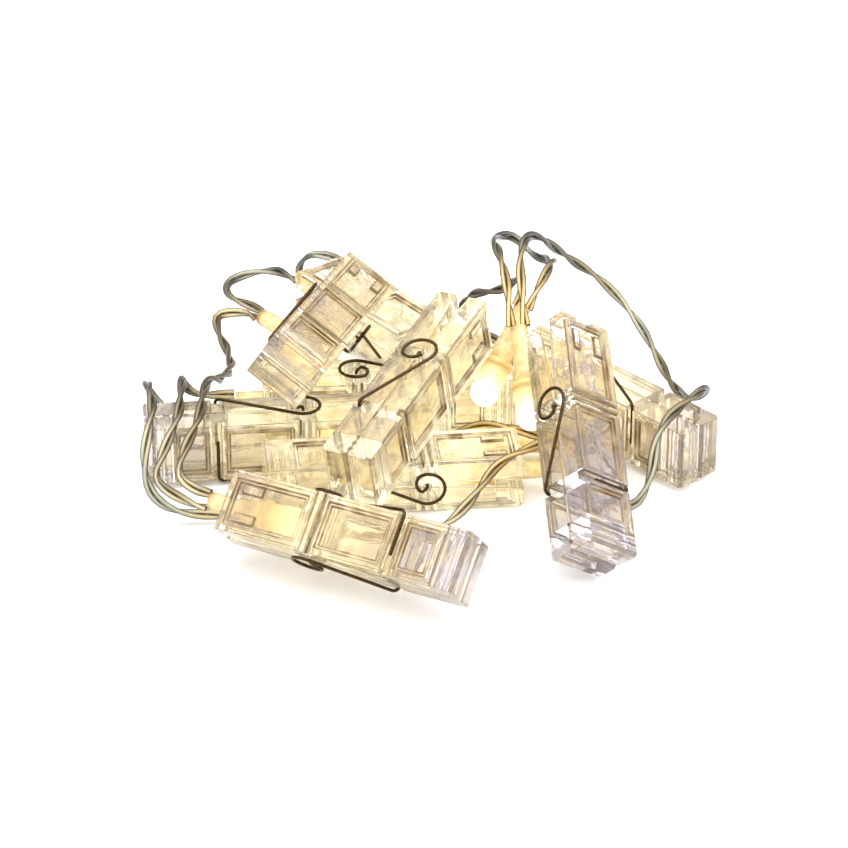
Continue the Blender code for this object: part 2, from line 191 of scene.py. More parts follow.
def stance(place, yaw, pitch=0.0, roll=0.0):
    """A frame at a place: X turned by yaw, tipped up by pitch, then rolled about X, in degrees."""
    turn = Matrix.Rotation(math.radians(yaw), 4, "Z")
    tip = Matrix.Rotation(math.radians(-pitch), 4, "Y")
    spin = Matrix.Rotation(math.radians(roll), 4, "X")
    return Matrix.Translation(place) @ turn @ tip @ spin


def linear(code, alpha=1.0):
    """An sRGB hex colour as the linear colour that a node takes."""
    channels = [int(code[i:i + 2], 16) / 255 for i in (1, 3, 5)]
    return (*[c / 12.92 if c <= 0.04045 else ((c + 0.055) / 1.055) ** 2.4 for c in channels], alpha)


def add(tree, kind, settings=None, links=None):
    """Adds a node, with settings for its inputs, properties or ramp, and links from other nodes' outputs."""
    node = tree.nodes.new(kind)
    for key, value in (settings or {}).items():
        if key == "stops":
            while len(node.color_ramp.elements) < len(value):
                node.color_ramp.elements.new(0.5)
            for element, (place, colour) in zip(node.color_ramp.elements, value):
                element.position = place
                element.color = linear(colour)
        elif isinstance(key, int) or key in node.inputs:
            node.inputs[key].default_value = value
        else:
            setattr(node, key, value)
    for key, socket in (links or {}).items():
        tree.links.new(socket, node.inputs[key])
    return node


def new_material(name):
    made = bpy.data.materials.new(name)
    made.use_nodes = True
    made.node_tree.nodes.clear()
    return made, made.node_tree


def smooth(knots, spacing):
    """Points at even spacing along a curve past all the knots, with its bends evened as stiffness does."""
    fine = []
    ends = [knots[0]] + knots + [knots[-1]]
    for a, b, c, d in zip(ends, ends[1:], ends[2:], ends[3:]):
        for step in range(FINE_STEPS):
            t = step / FINE_STEPS
            bend = (2 * a - 5 * b + 4 * c - d) * t * t
            twist = (3 * b - a - 3 * c + d) * t ** 3
            fine.append((2 * b + (c - a) * t + bend + twist) / 2)
    fine.append(knots[-1])
    for _ in range(EVENING_PASSES):
        inner = [(a + 2 * b + c) / 4 for a, b, c in zip(fine, fine[1:], fine[2:])]
        fine = [fine[0]] + inner + [fine[-1]]
    run = [0.0]
    for p, q in zip(fine, fine[1:]):
        run.append(run[-1] + (q - p).length)
    pieces = max(2, round(run[-1] / spacing))
    points = []
    at = 0
    for step in range(pieces + 1):
        want = run[-1] * step / pieces
        while at < len(fine) - 2 and run[at + 1] < want:
            at += 1
        share = (want - run[at]) / (run[at + 1] - run[at])
        points.append(fine[at].lerp(fine[at + 1], share))
    return points, run[-1]


def line_through(name, points):
    """A curve of straight steps through the points."""
    line = bpy.data.curves.new(name, "CURVE")
    line.dimensions = "3D"
    spline = line.splines.new("POLY")
    spline.points.add(len(points) - 1)
    for knot, place in zip(spline.points, points):
        knot.co = (*place, 1.0)
    return line


def swept(name, points, radius, resolution):
    """A mesh of a round wire along the points, with closed ends."""
    line = line_through(name, points)
    line.bevel_depth = radius
    line.bevel_resolution = resolution
    line.use_fill_caps = True
    holder = bpy.data.objects.new(name, line)
    bpy.context.collection.objects.link(holder)
    bpy.context.view_layer.update()
    seen = holder.evaluated_get(bpy.context.evaluated_depsgraph_get())
    made = bpy.data.meshes.new_from_object(seen)
    bpy.data.objects.remove(holder, do_unlink=True)
    bpy.data.curves.remove(line)
    made.name = name
    made.shade_smooth()
    return made


peg_frames = {}
for number, shares in PEG_PLACE_SHARES.items():
    peg_frames[number] = stance(laid(shares, height_of(number)), *PEG_TURNS[number])
near = stance(laid(PEG_PLACE_SHARES[NEIGHBOUR], 0), PEG_TURNS[NEIGHBOUR][0])
aside = HALF_DEPTH + PEG_WIDTH / 2 + WIRE + 2 * PLAY
beside = near @ Vector((ALONG_SHARE * PEG_LENGTH, aside, height_of(BESIDE)))
peg_frames[BESIDE] = stance(beside, *PEG_TURNS[BESIDE])
light_frames = {}
for number in LIT_PEGS:
    light_frames[number] = peg_frames[number] @ Matrix.Translation((LED_BASE, 0, -LED_DROP))
for number, shares in LIGHT_PLACE_SHARES.items():
    height = LIGHT_HEIGHT_SHARES[number] * PEG_WIDTH if number in LIGHT_HEIGHT_SHARES else ON_FLANGE
    light_frames[number] = stance(laid(shares, height), *LIGHT_TURNS[number])
GLOW_REACH = 15.5 * MM
BEAM_SHARES = {True: 1.45, False: 0.6}     # how far along a light its glow is centred: in a peg, or loose
lamp_middles = [m @ Vector((LED_LENGTH * BEAM_SHARES[n in LIT_PEGS], 0, 0)) for n, m in light_frames.items()]


def store_glow(mesh):
    """Keeps on each point of a mesh how much lamp light reaches it, from 0 to 1."""
    count = len(mesh.vertices)
    places = np.empty(count * 3)
    mesh.vertices.foreach_get("co", places)
    places = places.reshape(-1, 3)
    total = np.zeros(count)
    for middle in lamp_middles:
        away = np.linalg.norm(places - np.array(middle), axis=1)
        total += np.exp(-((away / GLOW_REACH) ** 2))
    glow = mesh.attributes.new("glow", "FLOAT", "POINT")
    glow.data.foreach_set("value", np.clip(total, 0, 1).astype(np.float32))


def finished(name, mesh, material, body, slot, *nodes):
    """An object for a mesh whose place is in it, riding on its body and standing for its nodes."""
    piece = bpy.data.objects.new(name, mesh)
    bpy.context.collection.objects.link(piece)
    mesh.materials.clear()
    mesh.materials.append(material)
    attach(piece, body)
    if nodes:
        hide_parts(*nodes)
    return piece


# Clear PVC over stranded copper, extruded: a pale core with painted shade darkening its edges as they turn
# from view, painted lamp light making it golden near a lamp, and olive or grey elsewhere
pvc, tree = new_material("clear_pvc_over_copper")
glow = add(tree, "ShaderNodeAttribute", {"attribute_name": "glow"})
facing = add(tree, "ShaderNodeLayerWeight", {"Blend": 0.35})
place = add(tree, "ShaderNodeTexCoord")
# Olive or grey in random patches along the cord
PATCHES_PER_METRE = 45.0          # each about 22 mm long
patch_noise = add(tree, "ShaderNodeTexNoise", {"Scale": PATCHES_PER_METRE, "Detail": 2.0},
            {"Vector": place.outputs["Object"]})
patch_share = add(tree, "ShaderNodeMapRange", {"From Min": 0.42, "From Max": 0.58},
              {"Value": patch_noise.outputs["Fac"]})
# Painted shade: each ramp darkens the strand towards its edges as they turn from view
grey = add(tree, "ShaderNodeValToRGB", {"stops": [(0.0, "#AAAA98"), (0.2, "#727263"), (0.42, "#302F27")]},
           {"Fac": facing.outputs["Facing"]})
olive = add(tree, "ShaderNodeValToRGB", {"stops": [(0.0, "#CDC198"), (0.2, "#8A7C54"), (0.42, "#3A301B")]},
            {"Fac": facing.outputs["Facing"]})
golden = add(tree, "ShaderNodeValToRGB", {"stops": [(0.0, "#EBD08C"), (0.2, "#A07C3C"), (0.42, "#47300F")]},
             {"Fac": facing.outputs["Facing"]})
unlit = add(tree, "ShaderNodeMix", {"data_type": "RGBA"},
            {0: patch_share.outputs[0], 6: olive.outputs["Color"], 7: grey.outputs["Color"]})
# Painted lamp light: the strand turns golden by how much lamp light reaches it
colour = add(tree, "ShaderNodeMix", {"data_type": "RGBA"},
             {0: glow.outputs["Fac"], 6: unlit.outputs[2], 7: golden.outputs["Color"]})
shader = add(tree, "ShaderNodeBsdfPrincipled", {"Roughness": 0.3, "IOR": 1.5, "Specular IOR Level": 0.35},
             {"Base Color": colour.outputs[2]})
add(tree, "ShaderNodeOutputMaterial", None, {"Surface": shader.outputs[0]})

# The pair follows its centre line: each strand is that line shifted sideways, the way turning as it goes
STRAND_SIDES = 10
pair = bpy.data.node_groups.new("twisted_pair", "GeometryNodeTree")
pair.interface.new_socket("Line", in_out="INPUT", socket_type="NodeSocketGeometry")
pair.interface.new_socket("Strand", in_out="INPUT", socket_type="NodeSocketFloat")
pair.interface.new_socket("Turn Length", in_out="INPUT", socket_type="NodeSocketFloat")
pair.interface.new_socket("Covering", in_out="INPUT", socket_type="NodeSocketMaterial")
pair.interface.new_socket("Pair", in_out="OUTPUT", socket_type="NodeSocketGeometry")
given = add(pair, "NodeGroupInput")
along = add(pair, "GeometryNodeSplineParameter")
turns = add(pair, "ShaderNodeMath", {"operation": "DIVIDE"},
            {0: along.outputs["Length"], 1: given.outputs["Turn Length"]})
turned_by = add(pair, "ShaderNodeMath", {"operation": "MULTIPLY", 1: math.tau}, {0: turns.outputs[0]})
radius = add(pair, "ShaderNodeMath", {"operation": "MULTIPLY", 1: 0.5}, {0: given.outputs["Strand"]})
round_wire = add(pair, "GeometryNodeCurvePrimitiveCircle", {"Resolution": STRAND_SIDES},
                 {"Radius": radius.outputs[0]})
both = add(pair, "GeometryNodeJoinGeometry")
for start_angle in (0.0, math.pi):
    tilt = add(pair, "ShaderNodeMath", {"operation": "ADD", 1: start_angle}, {0: turned_by.outputs[0]})
    tilted = add(pair, "GeometryNodeSetCurveTilt", None,
                 {"Curve": given.outputs["Line"], "Tilt": tilt.outputs[0]})
    sideways = add(pair, "GeometryNodeInputNormal")
    shift = add(pair, "ShaderNodeVectorMath", {"operation": "SCALE"},
                {0: sideways.outputs[0], "Scale": radius.outputs[0]})
    strand = add(pair, "GeometryNodeSetPosition", None,
                 {"Geometry": tilted.outputs[0], "Offset": shift.outputs[0]})
    wire_mesh = add(pair, "GeometryNodeCurveToMesh", {"Fill Caps": True},
                    {"Curve": strand.outputs[0], "Profile Curve": round_wire.outputs[0]})
    pair.links.new(wire_mesh.outputs[0], both.inputs[0])
real = add(pair, "GeometryNodeRealizeInstances", None, {"Geometry": both.outputs[0]})
covered = add(pair, "GeometryNodeSetMaterial", None,
              {"Geometry": real.outputs[0], "Material": given.outputs["Covering"]})
add(pair, "NodeGroupOutput", None, {0: covered.outputs[0]})


def grown(name, line, tree, values):
    """The plain mesh that a node tree makes from a line, with the tree's inputs set by name."""
    holder = bpy.data.objects.new(name, line)
    bpy.context.collection.objects.link(holder)
    step = holder.modifiers.new("grow", "NODES")
    step.node_group = tree
    for socket in tree.interface.items_tree:
        if socket.in_out == "INPUT" and socket.name in values:
            step[socket.identifier] = values[socket.name]
    bpy.context.view_layer.update()
    seen = holder.evaluated_get(bpy.context.evaluated_depsgraph_get())
    made = bpy.data.meshes.new_from_object(seen)
    holder.modifiers.clear()
    bpy.data.objects.remove(holder, do_unlink=True)
    made.name = name
    made.shade_smooth()
    return made


for number, (start, start_side, end, end_side, route) in CORDS.items():
    knots = []
    for light, side in ((start, start_side), (end, end_side)):
        out = light_frames[light] @ Matrix.Translation((-PLAY - SLEEVE_LENGTH, 0, 0))
        offset = side * CORD_SPREAD
        knots.append([out @ Vector((-PLAY, offset, 0)), out @ Vector((-PLAY - CORD_LEAD, offset, 0))])
    centre, length = smooth(knots[0] + [spot(p) for p in route] + knots[1][::-1], CORD_STEP)
    name = f"twisted_pair_{number}"
    mesh = grown(name, line_through(name, centre), pair,
                 {"Strand": STRAND, "Turn Length": TWIST, "Covering": pvc})
    store_glow(mesh)
    piece = finished(name, mesh, pvc, "string", "wire_insulation", f"cord_{number}")


# Lights. Each is a round 5 mm LED of warm clear epoxy with a flange at its foot, cast round chip and legs.
# A clear heat-shrunk sleeve covers the soldered legs and narrows to the two cords that leave it.
LED_RADIUS = 2.5 * MM
FLANGE = 1.0 * MM
FLANGE_EDGE = 0.12 * MM
SLEEVE_RADIUS = 1.6 * MM
LED_SIDES = 40
BARREL_STEPS = 6
DOME_STEPS = 12
SLEEVE_SIDES = 28
IN_PEG_LIT = 0.6                 # a light in a peg's handle shows less white than a loose one
CORE_SHARE = 0.75                # of the LED's length, from the flange to where it is lit in full
# How the sleeve narrows towards the cords: how far along it, and how wide, in shares of its length and radius
SLEEVE_SHARES = ((0.0, 1.45), (0.13, 1.4), (0.29, 1.1), (0.52, 1.0), (0.82, 0.97), (1.0, 0.94))


def turned(name, profile, sides):
    """A closed solid turned about X from a profile of (x, radius) points that starts and ends on the axis."""
    vertices = []
    rings = []
    for x, radius in profile:
        ring = []
        for k in range(sides if radius else 1):
            angle = math.tau * k / sides
            ring.append(len(vertices))
            vertices.append((x, radius * math.cos(angle), radius * math.sin(angle)))
        rings.append(ring)
    faces = []
    for near, far in zip(rings, rings[1:]):
        for k in range(sides):
            n = (k + 1) % sides
            if len(near) == 1:
                faces.append((near[0], far[n], far[k]))
            elif len(far) == 1:
                faces.append((near[k], near[n], far[0]))
            else:
                faces.append((near[k], near[n], far[n], far[k]))
    made = bpy.data.meshes.new(name)
    made.from_pydata(vertices, [], faces)
    work = bmesh.new()
    work.from_mesh(made)
    bmesh.ops.recalc_face_normals(work, faces=work.faces)
    work.to_mesh(made)
    work.free()
    return made


# Cast epoxy with the lamp on: white-hot round the chip, cream towards the foot
epoxy, tree = new_material("lit_cast_epoxy")
lit = add(tree, "ShaderNodeAttribute", {"attribute_name": "lit"})
burn = add(tree, "ShaderNodeValToRGB",
           {"stops": [(0.0, "#E0C078"), (0.35, "#F6DFA6"), (0.65, "#FFF0C2"), (0.9, "#FFFDF2")]},
           {"Fac": lit.outputs["Fac"]})
strength = add(tree, "ShaderNodeMapRange", {"To Min": 0.3, "To Max": 1.0}, {"Value": lit.outputs["Fac"]})
shader = add(tree, "ShaderNodeBsdfPrincipled", {"Roughness": 0.12, "IOR": 1.54},
             {"Base Color": burn.outputs["Color"], "Emission Color": burn.outputs["Color"],
              "Emission Strength": strength.outputs["Result"]})
add(tree, "ShaderNodeOutputMaterial", None, {"Surface": shader.outputs[0]})

# Polyolefin tube shrunk over the legs: clear and tight, with painted lamp light making it golden and faintly
# glowing, and painted shade darkening its edges
shrunk, tree = new_material("shrunk_clear_polyolefin")
place = add(tree, "ShaderNodeTexCoord")
STREAKS_PER_METRE = 900.0        # each about 1.1 mm wide, where the legs show through
streak = add(tree, "ShaderNodeTexNoise", {"Scale": STREAKS_PER_METRE, "Detail": 3.0},
             {"Vector": place.outputs["Object"]})
tint = add(tree, "ShaderNodeValToRGB", {"stops": [(0.3, "#DCC07C"), (0.7, "#FAEBBC")]},
           {"Fac": streak.outputs["Fac"]})
# Painted shade: darker towards its edges as they turn from view
facing = add(tree, "ShaderNodeLayerWeight", {"Blend": 0.3})
edge = add(tree, "ShaderNodeMix", {"data_type": "RGBA", 7: linear("#8C6D38")},
           {0: facing.outputs["Facing"], 6: tint.outputs["Color"]})
# Painted lamp light: the sleeve gives off its own colour as a faint glow
shader = add(tree, "ShaderNodeBsdfPrincipled", {"Roughness": 0.2, "IOR": 1.5, "Transmission Weight": 0.45,
                                                 "Emission Strength": 0.22},
             {"Base Color": edge.outputs[2], "Emission Color": edge.outputs[2]})
add(tree, "ShaderNodeOutputMaterial", None, {"Surface": shader.outputs[0]})

dome = LED_LENGTH - LED_RADIUS
profile = [(0, 0), (0, FLANGE_RADIUS - FLANGE_EDGE), (FLANGE_EDGE, FLANGE_RADIUS),
           (FLANGE - FLANGE_EDGE, FLANGE_RADIUS), (FLANGE, FLANGE_RADIUS - FLANGE_EDGE), (FLANGE, LED_RADIUS)]
for k in range(1, BARREL_STEPS):
    profile.append((FLANGE + (dome - FLANGE) * k / BARREL_STEPS, LED_RADIUS))
for k in range(DOME_STEPS):
    angle = math.pi / 2 * k / DOME_STEPS
    profile.append((dome + LED_RADIUS * math.sin(angle), LED_RADIUS * math.cos(angle)))
profile.append((LED_LENGTH, 0))
led_shape = turned("led", profile, LED_SIDES)
for light, place in light_frames.items():
    mesh = led_shape.copy()
    warm = mesh.attributes.new("lit", "FLOAT", "POINT")
    full = IN_PEG_LIT if light in LIT_PEGS else 1.0
    warm.data.foreach_set("value", [full * min(1.0, max(0.0, (v.co.x - FLANGE) / (LED_LENGTH * CORE_SHARE)))
                                    for v in mesh.vertices])
    mesh.transform(place)
    mesh.shade_smooth()
    finished(f"lamp_{light}", mesh, epoxy, "string", "led_epoxy", f"led_{light}")
    narrowing = [(-PLAY - along * SLEEVE_LENGTH, wide * SLEEVE_RADIUS) for along, wide in SLEEVE_SHARES]
    tube = turned("sleeve", [(narrowing[0][0], 0), *narrowing, (narrowing[-1][0], 0)], SLEEVE_SIDES)
    tube.transform(place)
    tube.shade_smooth()
    finished(f"shrunk_sleeve_{light}", tube, shrunk, "string", "clear_sleeve", f"led_{light}_sleeve")


# Pegs. Each is two clear shells of injection-moulded polystyrene, hollow on the inside, with shallow windows,
# finger grooves and a cross groove for the spring on the outside. The two halves rock on the spring's wire.
PIVOT_FROM_HANDLE = 16.5 * MM
HANDLE_OPENING = 2.4 * MM
SKIN = 0.8 * MM
SIDE_WALL = 1.0 * MM
END_WALL = 1.2 * MM
RIB = 3.8 * MM
OVERRUN = 1.0 * MM
EDGE = 0.5 * MM
WINDOW_SINK = 0.36 * MM
WINDOW_MARGIN = 1.3 * MM
LIP_SINK = 1.7                   # the windows' inner step, in sinks of a window
GRIP_GROOVE = 0.7 * MM
GRIP_GROOVE_FROM_PIVOT = 0.75 * MM
HOOK_FROM_PIVOT = 15.0 * MM
JAW_WINDOW = 5.6 * MM
JAW_TOOTH = 0.35 * MM
TOOTH_PITCH = 1.6 * MM
TEETH = 3
ROUNDING = 0.17 * MM
RIM_SHADE_LINE = 0.24 * MM
HOOK_GROOVE = WIRE + 2 * PLAY
SEAM = PLAY / 2
JAW_LENGTH = PEG_LENGTH - PIVOT_FROM_HANDLE
CHANNEL = SLEEVE_RADIUS + PLAY
LIP = 0.55 * MM
BOSS_LENGTH = 3.8 * MM
BOSS_WIDTH = 1.5 * MM
BOSS_ASIDE = 2.5 * MM
BOSS_MIDDLE = -11.9 * MM
BOSS_TOP = 0.4                   # under the shell's face, in sinks of a window
SEAT_ANGLES = range(15, 180, 25)
JAW_START = HOOK_FROM_PIVOT + HOOK_GROOVE / 2 + SKIN
WINDOWS = ((WINDOW_MARGIN - PIVOT_FROM_HANDLE, -RIB / 2), (RIB / 2, HOOK_FROM_PIVOT - HOOK_GROOVE / 2 - SKIN),
           (JAW_START, JAW_START + JAW_WINDOW))


def half_outline():
    """Side view of the moving half, from the handle end along the outer face to the jaw tip and back."""
    handle = -PIVOT_FROM_HANDLE
    tip = JAW_LENGTH
    top = HALF_DEPTH
    points = [(handle, top - EDGE), (handle + EDGE, top)]
    for side in (-1, 1):
        middle = side * GRIP_GROOVE_FROM_PIVOT
        points += [(middle - GRIP_GROOVE / 2, top), (middle, top - GRIP_GROOVE),
                   (middle + GRIP_GROOVE / 2, top)]
    points += [
        (HOOK_FROM_PIVOT - HOOK_GROOVE / 2, top),
        (HOOK_FROM_PIVOT - HOOK_GROOVE / 2, top - HOOK_GROOVE),
        (HOOK_FROM_PIVOT + HOOK_GROOVE / 2, top - HOOK_GROOVE),
        (HOOK_FROM_PIVOT + HOOK_GROOVE / 2, top),
        (tip - EDGE, top),
        (tip, top - EDGE),
        (tip, SEAM + EDGE),
        (tip - EDGE, SEAM),
    ]
    for tooth in range(TEETH):
        start = tip - EDGE - TOOTH_PITCH * (tooth + 1 / 2)
        points += [(start, SEAM), (start - TOOTH_PITCH / 4, SEAM + JAW_TOOTH),
                   (start - TOOTH_PITCH / 2, SEAM)]
    seat = WIRE / 2 + PLAY
    for angle in SEAT_ANGLES:
        points.append((seat * math.cos(math.radians(angle)), seat * math.sin(math.radians(angle))))
    points += [(-seat - EDGE, SEAM), (handle, HANDLE_OPENING / 2)]
    return points


def solid_of(name, outline, low, high):
    """A closed solid from an outline in X and Z, from low to high along Y."""
    count = len(outline)
    vertices = [(x, low, z) for x, z in outline] + [(x, high, z) for x, z in outline]
    faces = [tuple(range(count)), tuple(range(2 * count - 1, count - 1, -1))]
    for i in range(count):
        j = (i + 1) % count
        faces.append((i, i + count, j + count, j))
    made = bpy.data.meshes.new(name)
    made.from_pydata(vertices, [], faces)
    work = bmesh.new()
    work.from_mesh(made)
    bmesh.ops.recalc_face_normals(work, faces=work.faces)
    work.to_mesh(made)
    work.free()
    return made


def block(low, high):
    return solid_of("block", [(low[0], low[2]), (high[0], low[2]), (high[0], high[2]), (low[0], high[2])],
                    low[1], high[1])


def carved(solid, cutters, additions, rounding):
    """The solid less the cutters, plus the additions, with its edges rounded."""
    body = bpy.data.objects.new("shell", solid)
    bpy.context.collection.objects.link(body)
    tools = []
    for operation, meshes in (("DIFFERENCE", cutters), ("UNION", additions)):
        for mesh in meshes:
            tool = bpy.data.objects.new("tool", mesh)
            bpy.context.collection.objects.link(tool)
            tool.hide_render = True
            tools.append(tool)
            step = body.modifiers.new("carve", "BOOLEAN")
            step.operation = operation
            step.solver = "EXACT"
            step.object = tool
    solid.materials.clear()
    for where in ("face", "edge"):
        solid.materials.append(bpy.data.materials.new(where))
    bevel = body.modifiers.new("rounding", "BEVEL")
    bevel.material = 1
    bevel.width = rounding
    bevel.segments = 2
    bevel.limit_method = "ANGLE"
    bevel.angle_limit = math.radians(35)
    bevel.use_clamp_overlap = True
    bpy.context.view_layer.update()
    seen = body.evaluated_get(bpy.context.evaluated_depsgraph_get())
    made = bpy.data.meshes.new_from_object(seen)
    for gone in [body] + tools:
        bpy.data.objects.remove(gone, do_unlink=True)
    rounded = made.attributes.new("rounded", "FLOAT", "FACE")
    rounded.data.foreach_set("value", [float(face.material_index == 1) for face in made.polygons])
    for face in made.polygons:
        face.material_index = 0
    places = made.attributes.new("own_place", "FLOAT_VECTOR", "POINT")
    places.data.foreach_set("vector", [c for vertex in made.vertices for c in vertex.co])
    return made


def half_shell(holds_light):
    """A half shell as it is moulded, in the peg's own frame, as a plain mesh."""
    handle = -PIVOT_FROM_HANDLE
    inside = PEG_WIDTH / 2 - SIDE_WALL
    ceiling = HALF_DEPTH - SKIN
    window = PEG_WIDTH / 2 - WINDOW_MARGIN
    cradle = handle + END_WALL + SLEEVE_LENGTH / 3
    hollows = list(WINDOWS[1:])
    if holds_light:
        hollows.append((cradle, -RIB / 2))
        slot_depth = CHANNEL + LED_DROP
        slot_end = cradle + OVERRUN
    else:
        hollows.append((handle + END_WALL, -RIB / 2))
        slot_depth = HANDLE_OPENING + CHANNEL - LED_DROP
        slot_end = handle + END_WALL + OVERRUN
    cutters = [block((start, -inside, -OVERRUN), (end, inside, ceiling)) for start, end in hollows]
    cutters.append(block((handle - OVERRUN, -CHANNEL, -OVERRUN), (slot_end, CHANNEL, slot_depth)))
    outside = HALF_DEPTH + OVERRUN
    for start, end in WINDOWS:
        cutters.append(block((start, -window, HALF_DEPTH - WINDOW_SINK), (end, window, outside)))
        cutters.append(block((start + LIP, LIP - window, HALF_DEPTH - WINDOW_SINK * LIP_SINK),
                             (end - LIP, window - LIP, outside)))
    bosses = []
    for side in (-1, 1):
        low, high = side * BOSS_ASIDE - BOSS_WIDTH / 2, side * BOSS_ASIDE + BOSS_WIDTH / 2
        bosses.append(block((BOSS_MIDDLE - BOSS_LENGTH / 2, low, HALF_DEPTH - WINDOW_SINK * 2),
                            (BOSS_MIDDLE + BOSS_LENGTH / 2, high, HALF_DEPTH - WINDOW_SINK * BOSS_TOP)))
    made = carved(solid_of("shell", half_outline(), -PEG_WIDTH / 2, PEG_WIDTH / 2), cutters, bosses, ROUNDING)
    if holds_light:
        made.transform(Matrix.Rotation(math.pi, 4, "X"))
    return made


# General-purpose polystyrene, moulded and polished: clear and slightly cloudy. Painted lamp light, also given
# off as a glow, makes it cream to gold near the lamps and lavender grey away from them, and painted shade
# gives its edges thin tan lines
FLOWS_PER_METRE = 240.0          # melt flow marks, each about 4 mm wide
CLOUDS_PER_METRE = 190.0         # patches of caught light, each about 5 mm wide
PANEL_SHADE = 0.14               # how much less light a sunk panel catches
clear, tree = new_material("moulded_clear_polystyrene")
own = add(tree, "ShaderNodeAttribute", {"attribute_name": "own_place"})
place = add(tree, "ShaderNodeTexCoord")
flow = add(tree, "ShaderNodeTexNoise", {"Scale": FLOWS_PER_METRE, "Detail": 3.0, "Distortion": 0.9},
           {"Vector": own.outputs["Vector"]})
bump = add(tree, "ShaderNodeBump", {"Strength": 0.22, "Distance": 0.0005}, {"Height": flow.outputs["Fac"]})
glow = add(tree, "ShaderNodeAttribute", {"attribute_name": "glow"})
rounded = add(tree, "ShaderNodeAttribute", {"attribute_name": "rounded"})

# How far a point lies outside each moulded rectangle, which is below nil inside it. A peg's two sides are
# alike, so Y is folded over: one distance serves both raised rectangles
axes = add(tree, "ShaderNodeSeparateXYZ", None, {"Vector": own.outputs["Vector"]})
aside = add(tree, "ShaderNodeMath", {"operation": "ABSOLUTE"}, {0: axes.outputs["Y"]})
folded = add(tree, "ShaderNodeCombineXYZ", None, {"X": axes.outputs["X"], "Y": aside.outputs[0]})
rectangles = [(window, 0.0, PEG_WIDTH / 2 - WINDOW_MARGIN) for window in WINDOWS]
boss_ends = (BOSS_MIDDLE - BOSS_LENGTH / 2, BOSS_MIDDLE + BOSS_LENGTH / 2)
rectangles.append((boss_ends, BOSS_ASIDE, BOSS_WIDTH / 2))
distances = []
for (start, end), off_middle, half_width in rectangles:
    centred = add(tree, "ShaderNodeVectorMath",
                  {"operation": "SUBTRACT", 1: ((start + end) / 2, off_middle, 0)}, {0: folded.outputs[0]})
    away = add(tree, "ShaderNodeVectorMath", {"operation": "ABSOLUTE"}, {0: centred.outputs[0]})
    past = add(tree, "ShaderNodeVectorMath",
               {"operation": "SUBTRACT", 1: ((end - start) / 2, half_width, 0)}, {0: away.outputs[0]})
    sides = add(tree, "ShaderNodeSeparateXYZ", None, {"Vector": past.outputs[0]})
    distances.append(add(tree, "ShaderNodeMath", {"operation": "MAXIMUM"},
                         {0: sides.outputs["X"], 1: sides.outputs["Y"]}))
window_distance, *others, boss_distance = distances
for other in others:
    window_distance = add(tree, "ShaderNodeMath", {"operation": "MINIMUM"},
                          {0: window_distance.outputs[0], 1: other.outputs[0]})
step_distance = add(tree, "ShaderNodeMath", {"operation": "ADD", 1: LIP}, {0: window_distance.outputs[0]})
from_pivot = add(tree, "ShaderNodeMath", {"operation": "ABSOLUTE"}, {0: axes.outputs["X"]})
groove_distance = add(tree, "ShaderNodeMath", {"operation": "SUBTRACT", 1: GRIP_GROOVE_FROM_PIVOT},
                      {0: from_pivot.outputs[0]})

# Painted shade: thin tan lines follow those edges on the outer face, broken up by the flow marks, and all
# rounded edges
outer = add(tree, "ShaderNodeMath", {"operation": "GREATER_THAN", 1: HALF_DEPTH - 2.5 * WINDOW_SINK},
            {0: axes.outputs["Z"]})
veins = add(tree, "ShaderNodeMapRange", {"From Min": 0.35, "From Max": 0.6, "To Min": 0.45, "To Max": 1.0},
            {"Value": flow.outputs["Fac"]})
outer_veins = add(tree, "ShaderNodeMath", {"operation": "MULTIPLY"},
                  {0: outer.outputs[0], 1: veins.outputs[0]})
drawn = rounded.outputs["Fac"]
for distance, width in ((window_distance, RIM_SHADE_LINE), (step_distance, RIM_SHADE_LINE), (boss_distance, RIM_SHADE_LINE),
                        (groove_distance, GRIP_GROOVE / 2)):
    off_line = add(tree, "ShaderNodeMath", {"operation": "ABSOLUTE"}, {0: distance.outputs[0]})
    line = add(tree, "ShaderNodeMapRange",
               {"From Min": width / 2, "From Max": width, "To Min": 1.0, "To Max": 0.0},
               {"Value": off_line.outputs[0]})
    mark = add(tree, "ShaderNodeMath", {"operation": "MULTIPLY"},
               {0: line.outputs[0], 1: outer_veins.outputs[0]})
    drawn = add(tree, "ShaderNodeMath", {"operation": "MAXIMUM"}, {0: drawn, 1: mark.outputs[0]}).outputs[0]

# Light that the plastic catches: the lamps' glow in clouds, with less of it in the sunk panels
cloud = add(tree, "ShaderNodeTexNoise",
            {"Scale": CLOUDS_PER_METRE, "Detail": 4.0, "Roughness": 0.6, "Distortion": 1.4},
            {"Vector": place.outputs["Object"]})
sway = add(tree, "ShaderNodeMapRange", {"From Min": 0.3, "From Max": 0.7, "To Min": -0.34, "To Max": 0.46},
           {"Value": cloud.outputs["Fac"]})
sunk = add(tree, "ShaderNodeMath", {"operation": "LESS_THAN", 1: -LIP}, {0: window_distance.outputs[0]})
panel = add(tree, "ShaderNodeMath", {"operation": "MULTIPLY"}, {0: sunk.outputs[0], 1: outer.outputs[0]})
shade = add(tree, "ShaderNodeMath", {"operation": "MULTIPLY", 1: PANEL_SHADE}, {0: panel.outputs[0]})
clouded = add(tree, "ShaderNodeMath", {"operation": "ADD"}, {0: glow.outputs["Fac"], 1: sway.outputs[0]})
caught = add(tree, "ShaderNodeMath", {"operation": "SUBTRACT"}, {0: clouded.outputs[0], 1: shade.outputs[0]})
